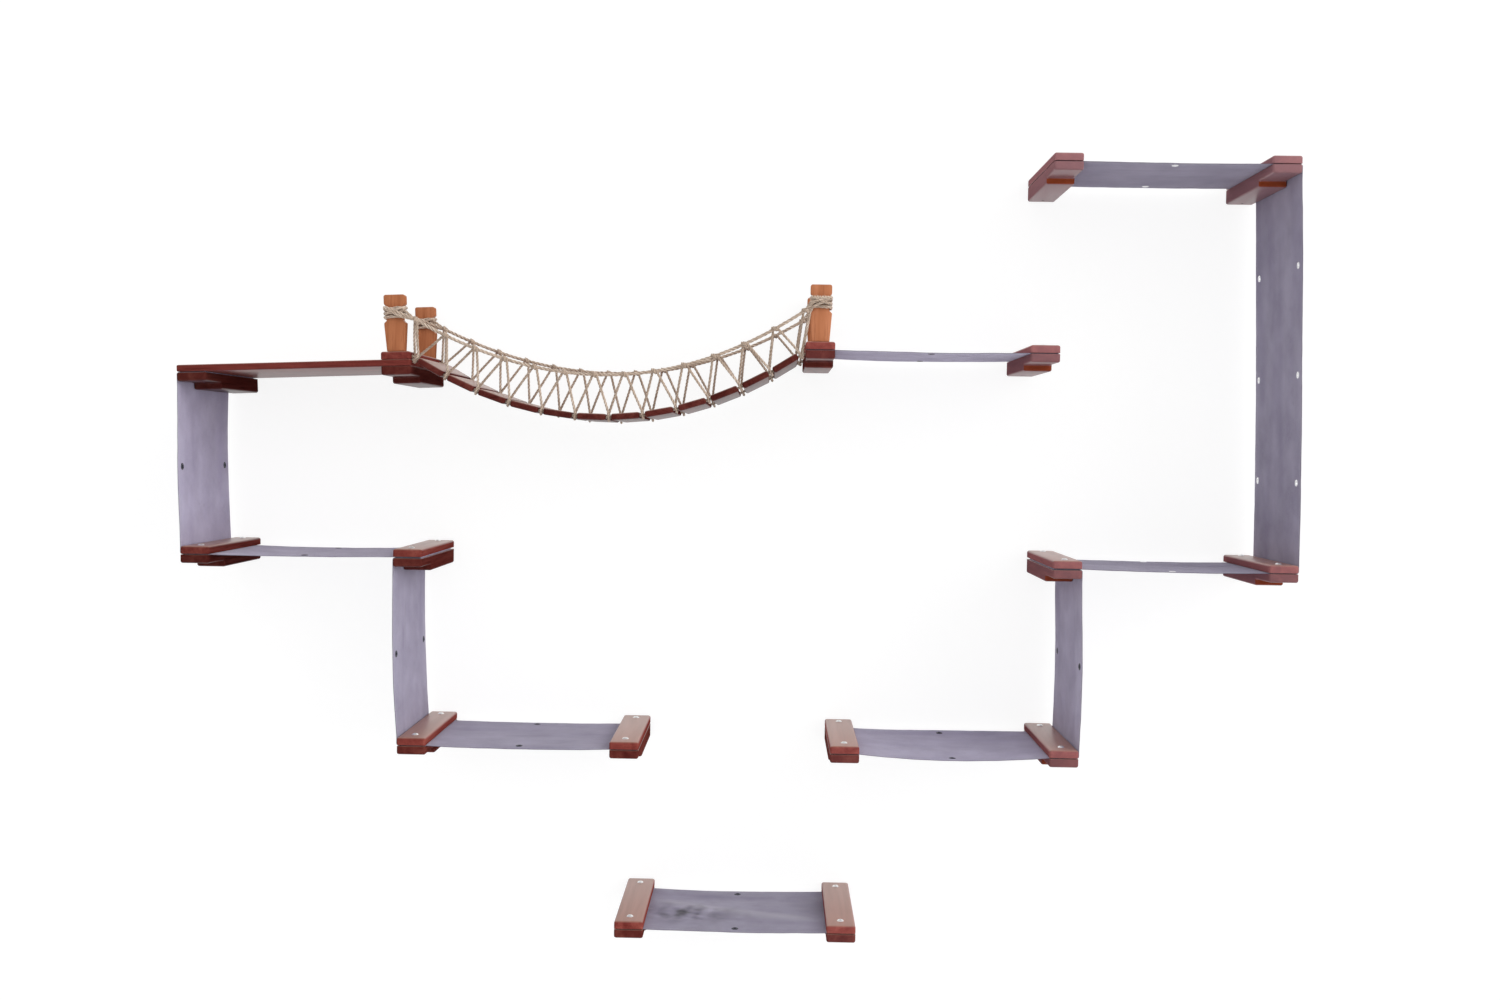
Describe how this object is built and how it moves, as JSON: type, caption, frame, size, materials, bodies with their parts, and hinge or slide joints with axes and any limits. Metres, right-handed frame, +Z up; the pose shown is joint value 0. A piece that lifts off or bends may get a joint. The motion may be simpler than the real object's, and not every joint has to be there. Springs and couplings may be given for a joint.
{
  "type": "wall-mounted cat tree",
  "caption": "Wall-mounted cat tree of hardwood clamp brackets that hold canvas slings and drops, a shelf and a rope bridge with handrails.",
  "frame": {"origin": "middle of the wall face of the bridge's left arm", "axes": "+X along the wall to the right as seen from the room, +Y into the wall, +Z up"},
  "size_m": [2.1066, 0.2858, 1.5016],
  "materials": {
    "dark_wood": "oiled reddish hardwood, satin",
    "post_wood": "oiled orange-brown hardwood, satin",
    "canvas": "grey-violet woven canvas, matte",
    "jute": "laid beige natural-fibre rope, matte"
  },
  "bodies": {
    "wall_frame": {"arm_bridge_left": "dark_wood", "arm_bridge_right": "dark_wood", "arm_end_sling": "dark_wood", "arm_high_left": "dark_wood", "arm_high_right": "dark_wood", "arm_left_step_inner": "dark_wood", "arm_left_step_outer": "dark_wood", "arm_left_tread_inner": "dark_wood", "arm_left_tread_outer": "dark_wood", "arm_low_left": "dark_wood", "arm_low_right": "dark_wood", "arm_right_step_inner": "dark_wood", "arm_right_step_outer": "dark_wood", "arm_right_tread_inner": "dark_wood", "arm_right_tread_outer": "dark_wood", "arm_shelf_outer": "dark_wood", "canvas_end_sling": "canvas", "canvas_left_long": "canvas", "canvas_left_step": "canvas", "canvas_low_sling": "canvas", "canvas_right_long": "canvas", "canvas_right_step": "canvas", "cap_bridge_left": "dark_wood", "cap_bridge_right": "dark_wood", "cap_end_sling": "dark_wood", "cap_high_left": "dark_wood", "cap_high_right": "dark_wood", "cap_left_step_inner": "dark_wood", "cap_left_step_outer": "dark_wood", "cap_left_tread_inner": "dark_wood", "cap_left_tread_outer": "dark_wood", "cap_low_left": "dark_wood", "cap_low_right": "dark_wood", "cap_right_step_inner": "dark_wood", "cap_right_step_outer": "dark_wood", "cap_right_tread_inner": "dark_wood", "cap_right_tread_outer": "dark_wood", "deck_rope_back": "jute", "deck_rope_front": "jute", "handrail_back": "jute", "handrail_front": "jute", "lacing_back": "jute", "lacing_front": "jute", "post_bridge_left_back": "post_wood", "post_bridge_left_front": "post_wood", "post_bridge_right_back": "post_wood", "post_bridge_right_front": "post_wood", "shelf_board": "dark_wood"},
    "deck_01": {"plank_01": "dark_wood"},
    "deck_02": {"plank_02": "dark_wood"},
    "deck_03": {"plank_03": "dark_wood"},
    "deck_04": {"plank_04": "dark_wood"},
    "deck_05": {"plank_05": "dark_wood"},
    "deck_06": {"plank_06": "dark_wood"},
    "deck_07": {"plank_07": "dark_wood"},
    "deck_08": {"plank_08": "dark_wood"},
    "deck_09": {"plank_09": "dark_wood"},
    "deck_10": {"plank_10": "dark_wood"},
    "deck_11": {"plank_11": "dark_wood"},
    "deck_12": {"plank_12": "dark_wood"}
  },
  "joints": [
    {"name": "sway_01", "type": "slide", "parent": "wall_frame", "child": "deck_01", "axis": [0, -1, 0], "range_m": [-0.00305, 0.00571]},
    {"name": "sway_02", "type": "slide", "parent": "wall_frame", "child": "deck_02", "axis": [0, -1, 0], "range_m": [-0.00723, 0.01354]},
    {"name": "sway_03", "type": "slide", "parent": "wall_frame", "child": "deck_03", "axis": [0, -1, 0], "range_m": [-0.01069, 0.02003]},
    {"name": "sway_04", "type": "slide", "parent": "wall_frame", "child": "deck_04", "axis": [0, -1, 0], "range_m": [-0.01335, 0.02502]},
    {"name": "sway_05", "type": "slide", "parent": "wall_frame", "child": "deck_05", "axis": [0, -1, 0], "range_m": [-0.01514, 0.02838]},
    {"name": "sway_06", "type": "slide", "parent": "wall_frame", "child": "deck_06", "axis": [0, -1, 0], "range_m": [-0.016, 0.03], "stiffness_N_per_m": 79, "deforming": ["lacing_front", "lacing_back", "deck_rope_front", "deck_rope_back"]},
    {"name": "sway_07", "type": "slide", "parent": "wall_frame", "child": "deck_07", "axis": [0, -1, 0], "range_m": [-0.01594, 0.02987]},
    {"name": "sway_08", "type": "slide", "parent": "wall_frame", "child": "deck_08", "axis": [0, -1, 0], "range_m": [-0.01492, 0.02796]},
    {"name": "sway_09", "type": "slide", "parent": "wall_frame", "child": "deck_09", "axis": [0, -1, 0], "range_m": [-0.01299, 0.02435]},
    {"name": "sway_10", "type": "slide", "parent": "wall_frame", "child": "deck_10", "axis": [0, -1, 0], "range_m": [-0.01023, 0.01917]},
    {"name": "sway_11", "type": "slide", "parent": "wall_frame", "child": "deck_11", "axis": [0, -1, 0], "range_m": [-0.0067, 0.01255]},
    {"name": "sway_12", "type": "slide", "parent": "wall_frame", "child": "deck_12", "axis": [0, -1, 0], "range_m": [-0.00249, 0.00466]}
  ],
  "couplings": [
    {"joint": "sway_01", "follows": "sway_06", "ratio": 0.19},
    {"joint": "sway_02", "follows": "sway_06", "ratio": 0.4508},
    {"joint": "sway_03", "follows": "sway_06", "ratio": 0.6671},
    {"joint": "sway_04", "follows": "sway_06", "ratio": 0.8335},
    {"joint": "sway_05", "follows": "sway_06", "ratio": 0.9456},
    {"joint": "sway_07", "follows": "sway_06", "ratio": 0.9951},
    {"joint": "sway_08", "follows": "sway_06", "ratio": 0.9314},
    {"joint": "sway_09", "follows": "sway_06", "ratio": 0.8112},
    {"joint": "sway_10", "follows": "sway_06", "ratio": 0.6384},
    {"joint": "sway_11", "follows": "sway_06", "ratio": 0.4179},
    {"joint": "sway_12", "follows": "sway_06", "ratio": 0.155}
  ]
}
